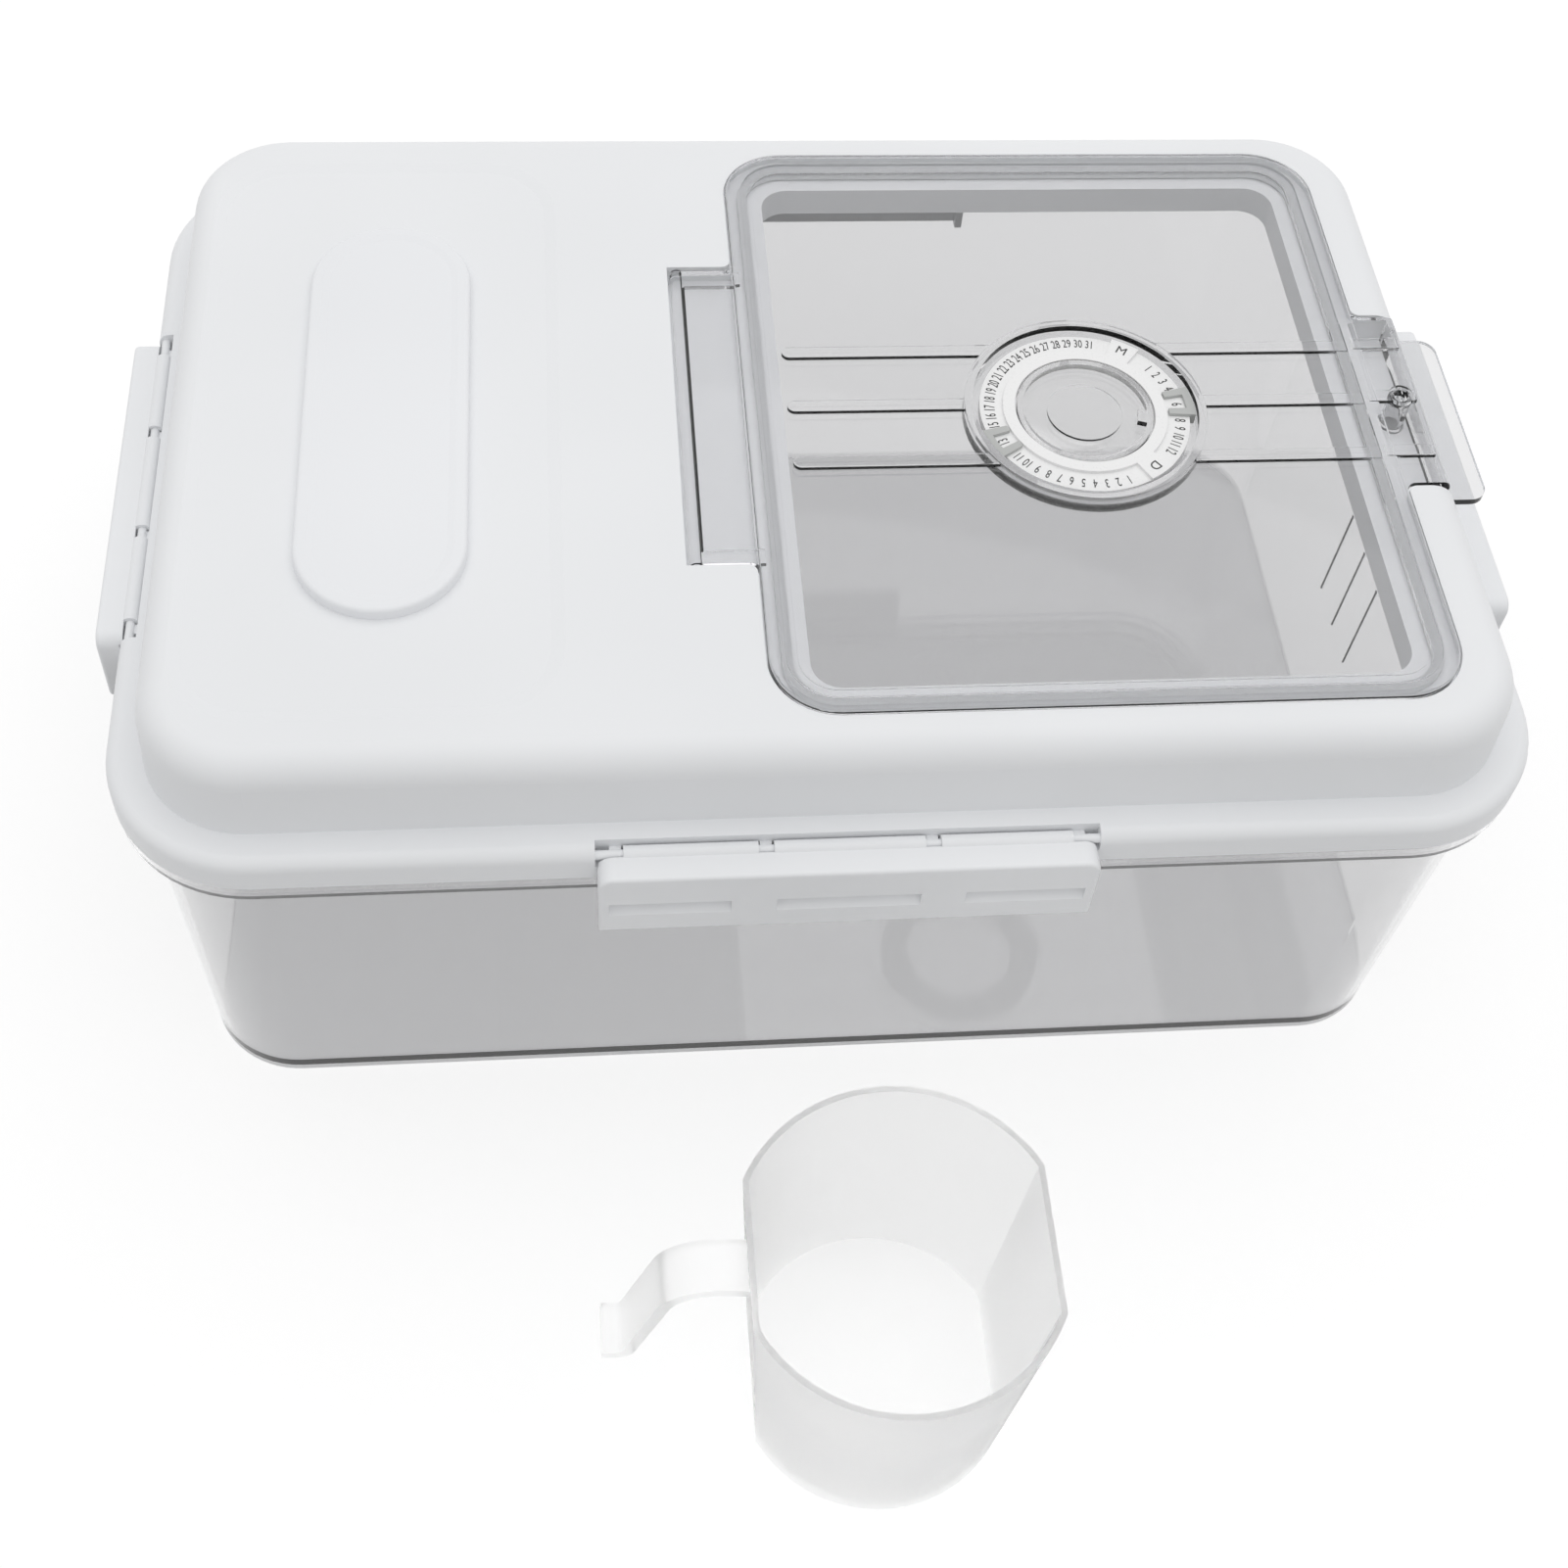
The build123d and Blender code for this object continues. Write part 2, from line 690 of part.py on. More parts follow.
def pointer(centre_deg):
    """Grey U-shaped pointer, a frame round one number, with a foot outside the scale."""
    low = scale_low_z + scale_thick + pointer_lift
    high = low + pointer_thick
    body = sector(pointer_inner_r, pointer_outer_r, pointer_half_deg, centre_deg, low, high)
    body -= sector(pointer_inner_r - past, pointer_outer_r - pointer_band, pointer_window_half_deg, centre_deg,
                   low - past, high + past)
    foot_r = scale_outer_r + pointer_foot_gap
    foot_low = scale_low_z + pointer_lift
    return body + sector(foot_r, pointer_outer_r, pointer_half_deg, centre_deg, foot_low, high)


def month_angle(month):
    """Angle of a month's number about the dial's axis."""
    return month_first_deg - (month - 1) * month_step_deg


def day_angle(day):
    """Angle of a day's number about the dial's axis."""
    return day_first_deg - (day - 1) * day_step_deg


def dial_hub():
    """Clear cup in the middle of the dial, with a raised disc and a small lug."""
    low = scale_low_z + seat_gap
    high = scale_low_z + scale_thick + index_height
    body = disc(hub_outer_r, low, high, x=dial_x, y=dial_y)
    body -= disc(hub_outer_r - hub_wall, low + hub_floor, high, x=dial_x, y=dial_y)
    body += disc(hub_lens_r, low, low + hub_floor + hub_lens_height, x=dial_x, y=dial_y)
    lug = sector(hub_outer_r - hub_lug_size, hub_outer_r - bite, hub_lug_half_deg, hub_lug_deg, low, high)
    return body + lug


def latch_slot(x, length, front_y):
    """Grip slot: square at its top, sloping out at its bottom."""
    low = latch_slot_z - latch_slot_high / 2
    high = latch_slot_z + latch_slot_high / 2
    back = front_y + latch_slot_depth
    section = Polyline((front_y - past, low - past), (front_y - past, high), (back, high),
                       (back, high - latch_slot_ceiling), (front_y, low), (front_y - past, low - past))
    face = make_face(Plane.YZ.offset(x - length / 2) * section)
    return extrude(face, amount=length, dir=(1, 0, 0))


def latch(half_span, half_length):
    """Latch on the front side: flange, front plate with slots, end walls, hooks and knuckles."""
    axis_y = -(half_span - latch_axis_inset)
    front_y = -(half_span + latch_plate_out)
    top_z = latch_axis_z + latch_flange_thick / 2
    flange_low_z = top_z - latch_flange_thick
    inner_y = axis_y - latch_flange_back
    plate_y = front_y + latch_plate_thick
    body = block(-half_length, half_length, front_y, inner_y, latch_bottom_z, top_z)
    corners = body.edges().filter_by(Axis.Y).sort_by(Axis.Z)[-2:]
    body = fillet(corners, latch_corner_r)
    body = fillet(body.faces().sort_by(Axis.Y)[0].edges(), latch_front_fillet)
    room = half_length - latch_end_wall
    body -= block(-room, room, plate_y, inner_y + past, latch_bottom_z - past, flange_low_z)
    body -= block(-half_length - past, half_length + past, -half_span - latch_skirt_gap, inner_y + past,
                  latch_bottom_z - past, flange_low_z)
    side_slot = (2 * (half_length - latch_slot_end - latch_slot_gap) - latch_slot_extra) / 3
    side_x = half_length - latch_slot_end - side_slot / 2
    for x, length in ((-side_x, side_slot), (0, side_slot + latch_slot_extra), (side_x, side_slot)):
        half = length / 2 + latch_slot_wall
        body += block(x - half, x + half, plate_y - bite, front_y + latch_slot_depth + latch_slot_wall,
                      latch_slot_z - latch_slot_high / 2, latch_slot_z + latch_slot_high / 2 + latch_slot_wall)
        body -= latch_slot(x, length, front_y)
    hook_top = rim_bottom_z - latch_hook_gap
    hook_inner_y = -(half_span - rim_edge_inset) - seat_gap
    for step in (-1, 1):
        x = step * latch_hook_offset
        body += block(x - latch_hook_half, x + latch_hook_half, plate_y - bite, hook_inner_y,
                      hook_top - latch_hook_thick, hook_top)
    for start, end in knuckle_spans(half_length):
        knuckle = rod(latch_knuckle_r, (start, axis_y, latch_axis_z), (end, axis_y, latch_axis_z))
        body += knuckle + block(start, end, inner_y - past, axis_y, flange_low_z, top_z)
    reach = half_length + past
    bore_r = latch_bar_r + pin_clearance
    return body - rod(bore_r, (-reach, axis_y, latch_axis_z), (reach, axis_y, latch_axis_z))


def cup_outline(inset):
    """Round outline clipped by two flats, drawn in by inset."""
    radius = cup_r - inset
    return Circle(radius) & Rectangle(2 * (cup_flat_half - inset), 2 * radius)


def measuring_cup():
    """Cup with two flat sides, a draft towards its base and a hook handle."""
    outer = loft([cup_outline(cup_base_inset), Pos(0, 0, cup_height) * cup_outline(0)])
    inner = loft([Pos(0, 0, cup_base_thick) * cup_outline(cup_base_inset + cup_wall),
                  Pos(0, 0, cup_height) * cup_outline(cup_wall)])
    start_z = cup_height - handle_below_rim
    root_x = -cup_flat_half + handle_root_depth
    low_x = root_x - handle_reach
    low_z = start_z - handle_drop
    path = FilletPolyline((root_x, 0, start_z), (root_x - handle_shoulder, 0, start_z + handle_rise),
                          (low_x, 0, low_z), (low_x - handle_curl, 0, low_z + handle_curl_rise),
                          radius=[handle_bend_r, handle_curl_r])
    section = Plane(path @ 0, z_dir=path % 0) * Rectangle(handle_thick, handle_width)
    handle = sweep(section, path=path) - outer
    return Pos(cup_x, cup_y, 0) * (outer - inner + handle)


save("tub", tub())
save("lid_shell", lid_shell())
save("lid_gasket", lid_gasket())
save("desiccant_cover", desiccant_cover())
save("desiccant_sachet", desiccant_sachet())
save("flip_door", flip_door())
save("door_gasket", door_gasket())
save("date_scale", date_scale())
save("index_ring", index_ring())
save("dial_hub", dial_hub())
save("month_pointer", pointer(month_angle(month_shown)))
save("day_pointer", pointer(day_angle(day_shown)))
save("measuring_cup", measuring_cup())
for place, turn, half_span, half_length in latch_places():
    save(f"latch_{place}", Rot(0, 0, turn) * latch(half_span, half_length))
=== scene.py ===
import math

import bpy
from mathutils import Matrix, Vector


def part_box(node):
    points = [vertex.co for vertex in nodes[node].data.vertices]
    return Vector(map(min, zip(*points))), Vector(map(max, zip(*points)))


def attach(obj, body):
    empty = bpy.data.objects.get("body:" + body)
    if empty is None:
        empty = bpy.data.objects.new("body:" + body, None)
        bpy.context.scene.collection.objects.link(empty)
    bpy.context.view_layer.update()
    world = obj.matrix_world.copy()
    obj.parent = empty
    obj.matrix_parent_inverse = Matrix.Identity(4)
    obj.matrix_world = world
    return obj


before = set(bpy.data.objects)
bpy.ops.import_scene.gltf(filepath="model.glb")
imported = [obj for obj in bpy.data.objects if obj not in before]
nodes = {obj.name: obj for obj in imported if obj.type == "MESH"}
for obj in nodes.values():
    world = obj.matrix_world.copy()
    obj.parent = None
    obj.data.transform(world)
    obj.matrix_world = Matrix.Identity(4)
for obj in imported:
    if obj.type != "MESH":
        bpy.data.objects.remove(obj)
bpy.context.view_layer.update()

MM = 0.001

# Camera of the photograph: sizes in pixels of its square frame, its place and sensor in millimetres
FRAME_PIXELS = 1601
FOCAL_PIXELS = 2287.6
CENTRE_PIXEL = (803.8, 631.6)
CAMERA_PLACE = (-69.1, -422.6, 596.5)
CAMERA_FORWARD = (0.09828, 0.61378, -0.78334)
CAMERA_RIGHT = (0.99487, -0.07949, 0.06253)
SENSOR_WIDTH = 36.0
NEAREST_SEEN_M = 0.01

# The dial's middle, radius and levels, from its CAD rings
dial_low, dial_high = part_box("date_scale")
DIAL_X = (dial_low[0] + dial_high[0]) / 2
DIAL_Y = (dial_low[1] + dial_high[1]) / 2
SCALE_R = (dial_high[0] - dial_low[0]) / 2
SCALE_TOP = dial_high[2]
INDEX_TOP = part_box("index_ring")[1][2]

# The dial's print: how many numbers, their angles in degrees, and their sizes
MONTHS = 12
DAYS = 31
MONTH_FIRST = 38.0
MONTH_STEP = 6.6
DAY_FIRST = 288.0
DAY_STEP = 7.0
MONTH_TAB = 58.0
DAY_TAB = -53.0
NUMBER_R = SCALE_R - 2.9 * MM
NUMBER_SIZE = 4.3 * MM
NUMBER_SLIM = 0.58
LETTER_SIZE = 4.2 * MM
LETTER_CURVE_STEPS = 4
INK_THICK = 0.03 * MM

# The pale band round the tub's foot, painted light for the lit floor seen through the clear foot, drawn
# in from the lid's outline
lid_low, lid_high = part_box("lid_shell")
CORNER_R = 37.5 * MM
BAND_OUTER_INSET = 11.1 * MM
BAND_INNER_INSET = 11.65 * MM
BAND_LOW = 0.05 * MM
BAND_HIGH = 2.3 * MM
BAND_CORNER_STEPS = 16

# Colours of the clear pieces, and how they tint the lamp light that falls through
DOOR_TINT = (0.82, 0.82, 0.825)
WALL_TINT = (0.8, 0.8, 0.805)
SMOKE_SHADOW = (0.8, 0.8, 0.81)
# The tub floor's deeper tint is painted shade for the shaded floor under the box, seen through it
TUB_FLOOR_PAINTED_SHADE = (0.6, 0.6, 0.61)
LENS_TINT = (0.95, 0.95, 0.95)
LENS_SHADOW = (0.9, 0.9, 0.9)
CUP_TINT = (0.985, 0.985, 0.985)
CUP_SHADOW = (0.88, 0.88, 0.88)

# The tub's floor gets a deeper tint up to this level, painted shade for the shaded floor under the box
# seen through it, and the tint changes this far either side of it
TUB_FLOOR_LEVEL = 5.2 * MM
TINT_BLEND = 0.4 * MM

# Colours of the other pieces
LID_WHITE = (0.865, 0.875, 0.89)
COVER_WHITE = (0.87, 0.88, 0.9)
SCALE_WHITE = (0.9, 0.9, 0.9)
# The foot band's pale colour is painted light for the lit floor seen through the clear foot
FOOT_PAINTED_LIGHT = (0.9, 0.9, 0.91)
POINTER_GREY = (0.5, 0.51, 0.5)
SILICONE_WHITE = (0.84, 0.85, 0.86)
PAPER_COLOURS = ((0.8, 0.8, 0.78), (0.92, 0.92, 0.9))
INK_GREYS = (0.03, 0.048)

# Noise at or below the first of these gives the first of a pair, and at or above the second its second
NOISE_ENDS = (0.35, 0.65)

# Surfaces; a pair is the least and the most roughness
CLEAR_IOR = 1.49
CLEAR_ROUGHNESS = (0.012, 0.028)
CUP_IOR = 1.12
CUP_ROUGHNESS = (0.3, 0.36)
CUP_CLEARNESS = 0.8
SATIN_SMOOTHER = 0.04
SATIN_ROUGHER = 0.05
SATIN_SPECULAR = 0.45
DRIFT_SCALE = 9.0
TONE_SPREAD = 0.012
POINTER_TONE_SPREAD = 0.02
LID_ROUGHNESS = 0.38
COVER_ROUGHNESS = 0.34
SCALE_ROUGHNESS = 0.3
POINTER_ROUGHNESS = 0.42
FOOT_ROUGHNESS = 0.5
SILICONE_ROUGHNESS = (0.5, 0.62)
SILICONE_SCATTER = 0.2
SILICONE_SCATTER_DEPTH = 3 * MM
PAPER_ROUGHNESS = 0.85
INK_ROUGHNESS = 0.6
SHARP_ANGLE = math.radians(30)

# Floor and world, first as light meets them and then as they are seen, and the lamp, in metres and watts
FLOOR_REACH = 6.0
FLOOR_DROP = 0.2 * MM
FLOOR_ROUGHNESS = 0.9
FLOOR_SPECULAR = 0.1
LIT_FLOOR_GREY = 0.62
LIT_SKY_STRENGTH = 0.62
SEEN_FLOOR_GREY = 0.3
SEEN_FLOOR_GLOW = 0.76
SEEN_SKY_STRENGTH = 1.0
WHITE = (1, 1, 1, 1)
LAMP_ACROSS = 3.0
LAMP_WATTS = 17.6
LAMP_PLACE = (0.1, 0.3, 2.0)


def opaque(value):
    """Colour with full alpha, from three values or from one grey."""
    colour = value if isinstance(value, tuple) else (value, value, value)
    return colour + (1,)


def set_inputs(node, **values):
    """Sets a node's inputs, named with an underscore for each space."""
    for key, value in values.items():
        node.inputs[key.replace("_", " ")].default_value = value
    return node


def add_node(tree, kind, **values):
    """Shader node with its inputs set by name."""
    return set_inputs(tree.nodes.new(kind), **values)


def new_material(name):
    """Node material with a Principled shader."""
    material = bpy.data.materials.new(name)
    material.use_nodes = True
    tree = material.node_tree
    return material, tree, tree.nodes["Principled BSDF"]


def add_noise(tree, scale, detail):
    """Noise on object coordinates."""
    coords = tree.nodes.new("ShaderNodeTexCoord")
    noise = add_node(tree, "ShaderNodeTexNoise", Scale=scale, Detail=detail)
    tree.links.new(coords.outputs["Object"], noise.inputs["Vector"])
    return noise


def fine_bump(tree, shader, scale, strength, distance, detail=3.0):
    """Noise that bumps the surface by up to a distance, for its roughness or colour to follow too."""
    noise = add_noise(tree, scale, detail)
    bump = add_node(tree, "ShaderNodeBump", Strength=strength, Distance=distance)
    tree.links.new(noise.outputs["Fac"], bump.inputs["Height"])
    tree.links.new(bump.outputs["Normal"], shader.inputs["Normal"])
    return noise


def vary(tree, noise, ends, target):
    """Noise spread between two values, or two colours, on a shader's input."""
    ramp = tree.nodes.new("ShaderNodeValToRGB")
    for element, position, value in zip(ramp.color_ramp.elements, NOISE_ENDS, ends):
        element.position = position
        element.color = opaque(value)
    tree.links.new(noise.outputs["Fac"], ramp.inputs["Fac"])
    tree.links.new(ramp.outputs["Color"], target)


def moulded_plastic(name, colour, roughness, spread=TONE_SPREAD):
    """Satin moulded plastic: fine spark grain, faint tone drift, uneven roughness."""
    material, tree, shader = new_material(name)
    grain = fine_bump(tree, shader, scale=900.0, strength=0.08, distance=0.05 * MM)
    drift = add_noise(tree, DRIFT_SCALE, detail=2.0)
    dark = tuple(c - spread for c in colour)
    light = tuple(c + spread for c in colour)
    vary(tree, drift, (dark, light), shader.inputs["Base Color"])
    vary(tree, grain, (roughness - SATIN_SMOOTHER, roughness + SATIN_ROUGHER), shader.inputs["Roughness"])
    set_inputs(shader, Specular_IOR_Level=SATIN_SPECULAR)
    return material


def let_lamps_through(tree, shader, tint):
    """Tinted see-through film in place of the shader, for shadow rays only."""
    path = tree.nodes.new("ShaderNodeLightPath")
    film = add_node(tree, "ShaderNodeBsdfTransparent", Color=opaque(tint))
    mix = tree.nodes.new("ShaderNodeMixShader")
    tree.links.new(path.outputs["Is Shadow Ray"], mix.inputs[0])
    tree.links.new(shader.outputs["BSDF"], mix.inputs[1])
    tree.links.new(film.outputs["BSDF"], mix.inputs[2])
    tree.links.new(mix.outputs["Shader"], tree.nodes["Material Output"].inputs["Surface"])


def clear_plastic(name, tint, shadow_tint):
    """Clear tinted plastic that lets lamp light through, with faint moulding waves."""
    material, tree, shader = new_material(name)
    set_inputs(shader, Base_Color=opaque(tint), Transmission_Weight=1.0, IOR=CLEAR_IOR)
    waves = fine_bump(tree, shader, scale=22.0, strength=0.02, distance=0.4 * MM, detail=1.0)
    vary(tree, waves, CLEAR_ROUGHNESS, shader.inputs["Roughness"])
    let_lamps_through(tree, shader, shadow_tint)
    return material


def thicker_below(material, level, tint, shade_tint):
    """Deeper tint on a clear material below a level: painted shade for the shaded floor under the box,
    seen through it.
    """
    tree = material.node_tree
    coords = tree.nodes.new("ShaderNodeTexCoord")
    split = tree.nodes.new("ShaderNodeSeparateXYZ")
    rise = add_node(tree, "ShaderNodeMapRange", From_Min=level - TINT_BLEND, From_Max=level + TINT_BLEND)
    ramp = tree.nodes.new("ShaderNodeValToRGB")
    ramp.color_ramp.elements[0].color = opaque(shade_tint)
    ramp.color_ramp.elements[1].color = opaque(tint)
    tree.links.new(coords.outputs["Object"], split.inputs["Vector"])
    tree.links.new(split.outputs["Z"], rise.inputs["Value"])
    tree.links.new(rise.outputs["Result"], ramp.inputs["Fac"])
    tree.links.new(ramp.outputs["Color"], tree.nodes["Principled BSDF"].inputs["Base Color"])


def silicone(name):
    """Soft milky silicone."""
    material, tree, shader = new_material(name)
    noise = fine_bump(tree, shader, scale=500.0, strength=0.05, distance=0.1 * MM)
    vary(tree, noise, SILICONE_ROUGHNESS, shader.inputs["Roughness"])
    set_inputs(shader, Base_Color=opaque(SILICONE_WHITE), Subsurface_Weight=SILICONE_SCATTER)
    set_inputs(shader, Subsurface_Radius=(SILICONE_SCATTER_DEPTH,) * 3)
    return material


def frosted_plastic(name):
    """Translucent milky plastic of the cup: cloudy and see-through, with a pale body."""
    material, tree, shader = new_material(name)
    set_inputs(shader, Base_Color=opaque(CUP_TINT), Transmission_Weight=CUP_CLEARNESS, IOR=CUP_IOR)
    waves = fine_bump(tree, shader, scale=40.0, strength=0.02, distance=0.2 * MM, detail=1.0)
    vary(tree, waves, CUP_ROUGHNESS, shader.inputs["Roughness"])
    let_lamps_through(tree, shader, CUP_SHADOW)
    return material


def sachet_paper(name):
    """Non-woven sachet paper with a rough, mottled face."""
    material, tree, shader = new_material(name)
    fibres = fine_bump(tree, shader, scale=700.0, strength=0.5, distance=0.3 * MM)
    vary(tree, fibres, PAPER_COLOURS, shader.inputs["Base Color"])
    set_inputs(shader, Roughness=PAPER_ROUGHNESS)
    return material


def printed_ink(name):
    """Matt printed ink with slight wear in its density."""
    material, tree, shader = new_material(name)
    wear = fine_bump(tree, shader, scale=1500.0, strength=0.05, distance=0.02 * MM)
    vary(tree, wear, INK_GREYS, shader.inputs["Base Color"])
    set_inputs(shader, Roughness=INK_ROUGHNESS)
    return material


def dress_nodes():
    """A finished material on every CAD node."""
    smoke = clear_plastic("smoke_clear", DOOR_TINT, SMOKE_SHADOW)
    walls = clear_plastic("smoke_tub", WALL_TINT, SMOKE_SHADOW)
    # Painted shade: the tub's floor gets a deeper tint, for the shaded floor under the box seen through
    # it
    thicker_below(walls, TUB_FLOOR_LEVEL, WALL_TINT, TUB_FLOOR_PAINTED_SHADE)
    lens = clear_plastic("smoke_lens", LENS_TINT, LENS_SHADOW)
    white = moulded_plastic("white_plastic", LID_WHITE, LID_ROUGHNESS)
    cover = moulded_plastic("cover_plastic", COVER_WHITE, COVER_ROUGHNESS)
    scale = moulded_plastic("scale_plastic", SCALE_WHITE, SCALE_ROUGHNESS)
    grey = moulded_plastic("pointer_plastic", POINTER_GREY, POINTER_ROUGHNESS, POINTER_TONE_SPREAD)
    gum = silicone("silicone")
    frost = frosted_plastic("frosted_plastic")
    paper = sachet_paper("sachet_paper")
    plan = {
        "tub": walls, "flip_door": smoke, "dial_hub": lens, "measuring_cup": frost,
        "lid_shell": white, "desiccant_cover": cover, "desiccant_sachet": paper,
        "lid_gasket": gum, "door_gasket": gum, "date_scale": scale, "index_ring": scale,
        "month_pointer": grey, "day_pointer": grey,
        "latch_front": white, "latch_back": white, "latch_left": white, "latch_right": white,
    }
    for name, material in plan.items():
        slots = nodes[name].data.materials
        slots.clear()
        slots.append(material)


def smooth(mesh):
    """Smooth shading with sharp edges kept."""
    mesh.shade_smooth()
    mesh.set_sharp_from_angle(angle=SHARP_ANGLE)


def lettering(name, text, size, angle_deg, z, material, body, slim=1.0):
    """Printed text on the dial, its foot towards the dial's middle."""
    curve = bpy.data.curves.new(name, "FONT")
    curve.body = text
    curve.size = size
    curve.align_x = "CENTER"
    curve.align_y = "CENTER"
    curve.extrude = INK_THICK
    curve.resolution_u = LETTER_CURVE_STEPS
    curve.materials.append(material)
    piece = bpy.data.objects.new(name, curve)
    bpy.context.scene.collection.objects.link(piece)
    angle = math.radians(angle_deg)
    x = DIAL_X + NUMBER_R * math.cos(angle)
    y = DIAL_Y + NUMBER_R * math.sin(angle)
    place = Matrix.Translation((x, y, z + INK_THICK))
    turn = Matrix.Rotation(angle - math.pi / 2, 4, "Z")
    squeeze = Matrix.Diagonal((slim, 1, 1, 1))
    piece.matrix_world = place @ turn @ squeeze
    mesh = bpy.data.meshes.new_from_object(piece.evaluated_get(bpy.context.evaluated_depsgraph_get()))
    mesh.transform(piece.matrix_world)
    bpy.data.objects.remove(piece)
    solid = bpy.data.objects.new(name, mesh)
    bpy.context.scene.collection.objects.link(solid)
    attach(solid, body)


def dial_print():
    """Month and day numbers on the scale, and the letters on the two tabs."""
    ink = printed_ink("number_ink")
    scales = (("month", MONTHS, MONTH_FIRST, MONTH_STEP), ("day", DAYS, DAY_FIRST, DAY_STEP))
    for kind, count, first, step in scales:
        for number in range(1, count + 1):
            angle = first - (number - 1) * step
            lettering(f"{kind}_number_{number}", str(number), NUMBER_SIZE, angle, SCALE_TOP, ink, "door",
                      slim=NUMBER_SLIM)
    for name, text, angle in (("month_letter", "M", MONTH_TAB), ("day_letter", "D", DAY_TAB)):
        lettering(name, text, LETTER_SIZE, angle, INDEX_TOP, ink, "door")


def outline_points(inset, z):
    """Points round the lid's outline, drawn in by inset, at one level."""
    half_x = (lid_high[0] - lid_low[0]) / 2 - CORNER_R
    half_y = (lid_high[1] - lid_low[1]) / 2 - CORNER_R
    radius = CORNER_R - inset
    points = []
    for quarter, (side_x, side_y) in enumerate(((1, 1), (-1, 1), (-1, -1), (1, -1))):
        for step in range(BAND_CORNER_STEPS + 1):
            angle = math.radians(90 * (quarter + step / BAND_CORNER_STEPS))
            x = side_x * half_x + radius * math.cos(angle)
            y = side_y * half_y + radius * math.sin(angle)
            points.append((x, y, z))
    return points


def foot_band():
    """Pale band round the tub's foot: painted light for the lit floor seen through the clear foot."""
    edges = ((BAND_OUTER_INSET, BAND_LOW), (BAND_OUTER_INSET, BAND_HIGH), (BAND_INNER_INSET, BAND_HIGH),
             (BAND_INNER_INSET, BAND_LOW))
    rings = [outline_points(inset, z) for inset, z in edges]
    count = len(rings[0])
    faces = []
    for ring in range(len(rings)):
        for step in range(count):
            after = (step + 1) % count
            low = ring * count
            high = (ring + 1) % len(rings) * count
            faces.append((low + step, low + after, high + after, high + step))
    mesh = bpy.data.meshes.new("foot_band")
    mesh.from_pydata([point for ring in rings for point in ring], [], faces)
    # Painted light: a pale opaque colour stands in for the lit floor seen through the clear foot
    mesh.materials.append(moulded_plastic("foot_painted_light", FOOT_PAINTED_LIGHT, FOOT_ROUGHNESS))
    band = bpy.data.objects.new("foot_band", mesh)
    bpy.context.scene.collection.objects.link(band)
    smooth(mesh)
    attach(band, "tub")


def seen_apart(tree, lit, seen_shader, output):
    """One shader where the camera, a mirror or a clear piece looks, and another where light falls."""
    path = tree.nodes.new("ShaderNodeLightPath")
    seen = path.outputs["Is Camera Ray"]
    for kind in ("Is Glossy Ray", "Is Transmission Ray"):
        either = tree.nodes.new("ShaderNodeMath")
        either.operation = "MAXIMUM"
        tree.links.new(seen, either.inputs[0])
        tree.links.new(path.outputs[kind], either.inputs[1])
        seen = either.outputs["Value"]
    mix = tree.nodes.new("ShaderNodeMixShader")
    tree.links.new(seen, mix.inputs[0])
    tree.links.new(lit, mix.inputs[1])
    tree.links.new(seen_shader, mix.inputs[2])
    tree.links.new(mix.outputs["Shader"], output.inputs["Surface"])


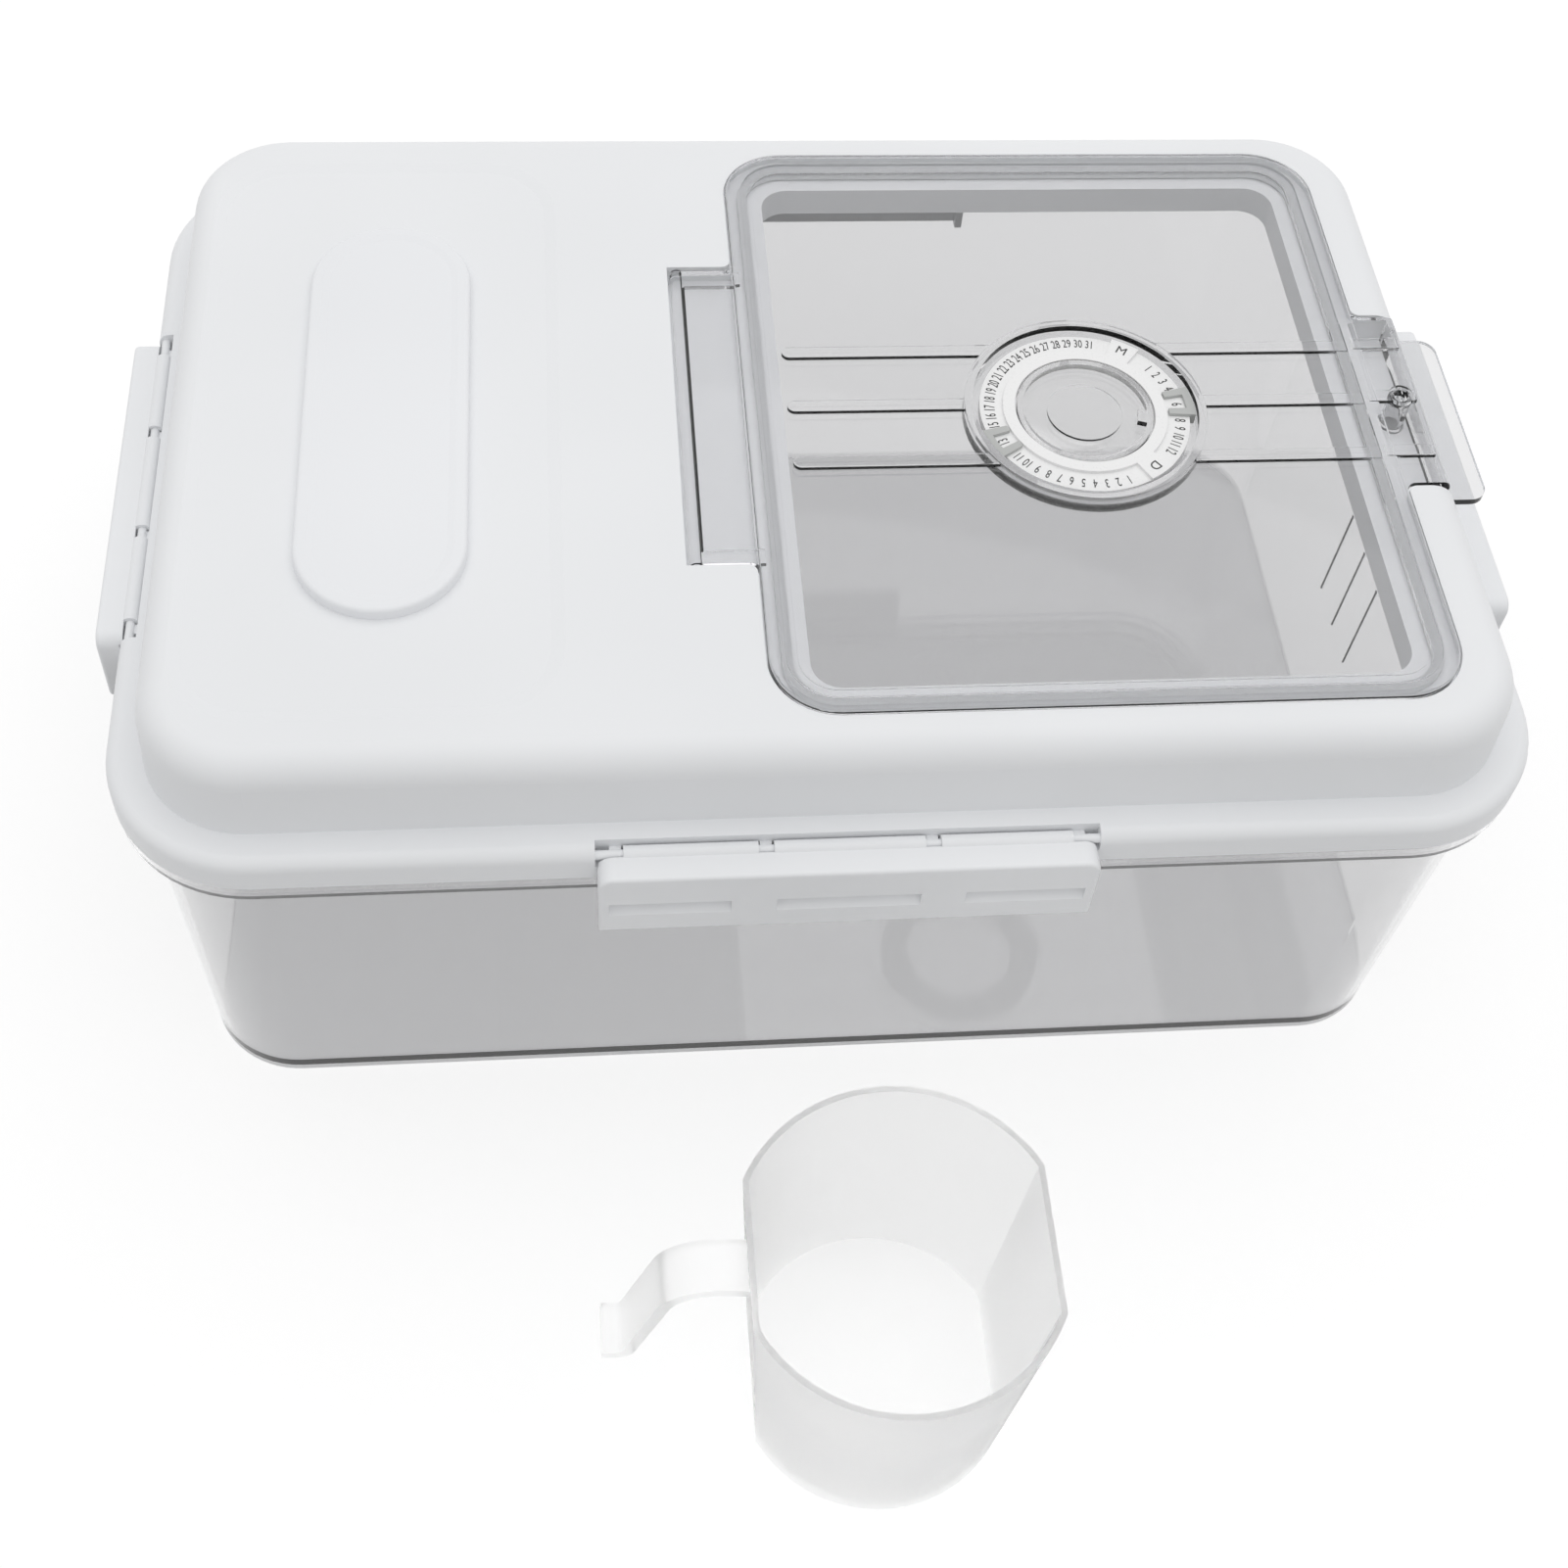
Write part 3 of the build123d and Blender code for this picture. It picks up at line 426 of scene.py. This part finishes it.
def pale_floor():
    """Grey floor for the light, seen as plain white with a faint shadow."""
    mesh = bpy.data.meshes.new("floor")
    corners = [(x * FLOOR_REACH, y * FLOOR_REACH, 0) for x, y in ((-1, -1), (1, -1), (1, 1), (-1, 1))]
    mesh.from_pydata(corners, [], [(0, 1, 2, 3)])
    floor = bpy.data.objects.new("floor", mesh)
    floor.location.z = -FLOOR_DROP
    bpy.context.scene.collection.objects.link(floor)
    material, tree, shader = new_material("floor_white")
    set_inputs(shader, Base_Color=opaque(LIT_FLOOR_GREY), Roughness=FLOOR_ROUGHNESS)
    set_inputs(shader, Specular_IOR_Level=FLOOR_SPECULAR)
    pale = add_node(tree, "ShaderNodeBsdfDiffuse", Color=opaque(SEEN_FLOOR_GREY))
    glow = add_node(tree, "ShaderNodeEmission", Color=WHITE, Strength=SEEN_FLOOR_GLOW)
    white = tree.nodes.new("ShaderNodeAddShader")
    tree.links.new(pale.outputs["BSDF"], white.inputs[0])
    tree.links.new(glow.outputs["Emission"], white.inputs[1])
    seen_apart(tree, shader.outputs["BSDF"], white.outputs["Shader"], tree.nodes["Material Output"])
    mesh.materials.append(material)


def studio_light():
    """World that is seen as white and lights the object softly, and one wide lamp overhead."""
    world = bpy.data.worlds.new("studio")
    bpy.context.scene.world = world
    world.use_nodes = True
    tree = world.node_tree
    sky = set_inputs(tree.nodes["Background"], Color=WHITE, Strength=LIT_SKY_STRENGTH)
    white = add_node(tree, "ShaderNodeBackground", Color=WHITE, Strength=SEEN_SKY_STRENGTH)
    seen_apart(tree, sky.outputs["Background"], white.outputs["Background"], tree.nodes["World Output"])

    data = bpy.data.lights.new("overhead", "AREA")
    data.shape = "DISK"
    data.size = LAMP_ACROSS
    data.energy = LAMP_WATTS
    lamp = bpy.data.objects.new("overhead", data)
    bpy.context.scene.collection.objects.link(lamp)
    lamp.location = LAMP_PLACE
    lamp.visible_glossy = False


def photo_camera():
    """Camera at the photograph's viewing angle."""
    data = bpy.data.cameras.new("photo")
    data.sensor_fit = "HORIZONTAL"
    data.sensor_width = SENSOR_WIDTH
    data.lens = FOCAL_PIXELS * SENSOR_WIDTH / FRAME_PIXELS
    middle = (FRAME_PIXELS - 1) / 2
    data.shift_x = (middle - CENTRE_PIXEL[0]) / FRAME_PIXELS
    data.shift_y = (CENTRE_PIXEL[1] - middle) / FRAME_PIXELS
    data.clip_start = NEAREST_SEEN_M
    right = Vector(CAMERA_RIGHT).normalized()
    back = -Vector(CAMERA_FORWARD).normalized()
    up = back.cross(right).normalized()
    turn = Matrix((right, up, back)).transposed().to_4x4()
    camera = bpy.data.objects.new("photo", data)
    bpy.context.scene.collection.objects.link(camera)
    camera.matrix_world = Matrix.Translation(Vector(CAMERA_PLACE) * MM) @ turn
    bpy.context.scene.camera = camera


bpy.context.scene.view_settings.view_transform = "Standard"
for node in nodes.values():
    smooth(node.data)
dress_nodes()
dial_print()
foot_band()
pale_floor()
studio_light()
photo_camera()

bpy.context.view_layer.update()
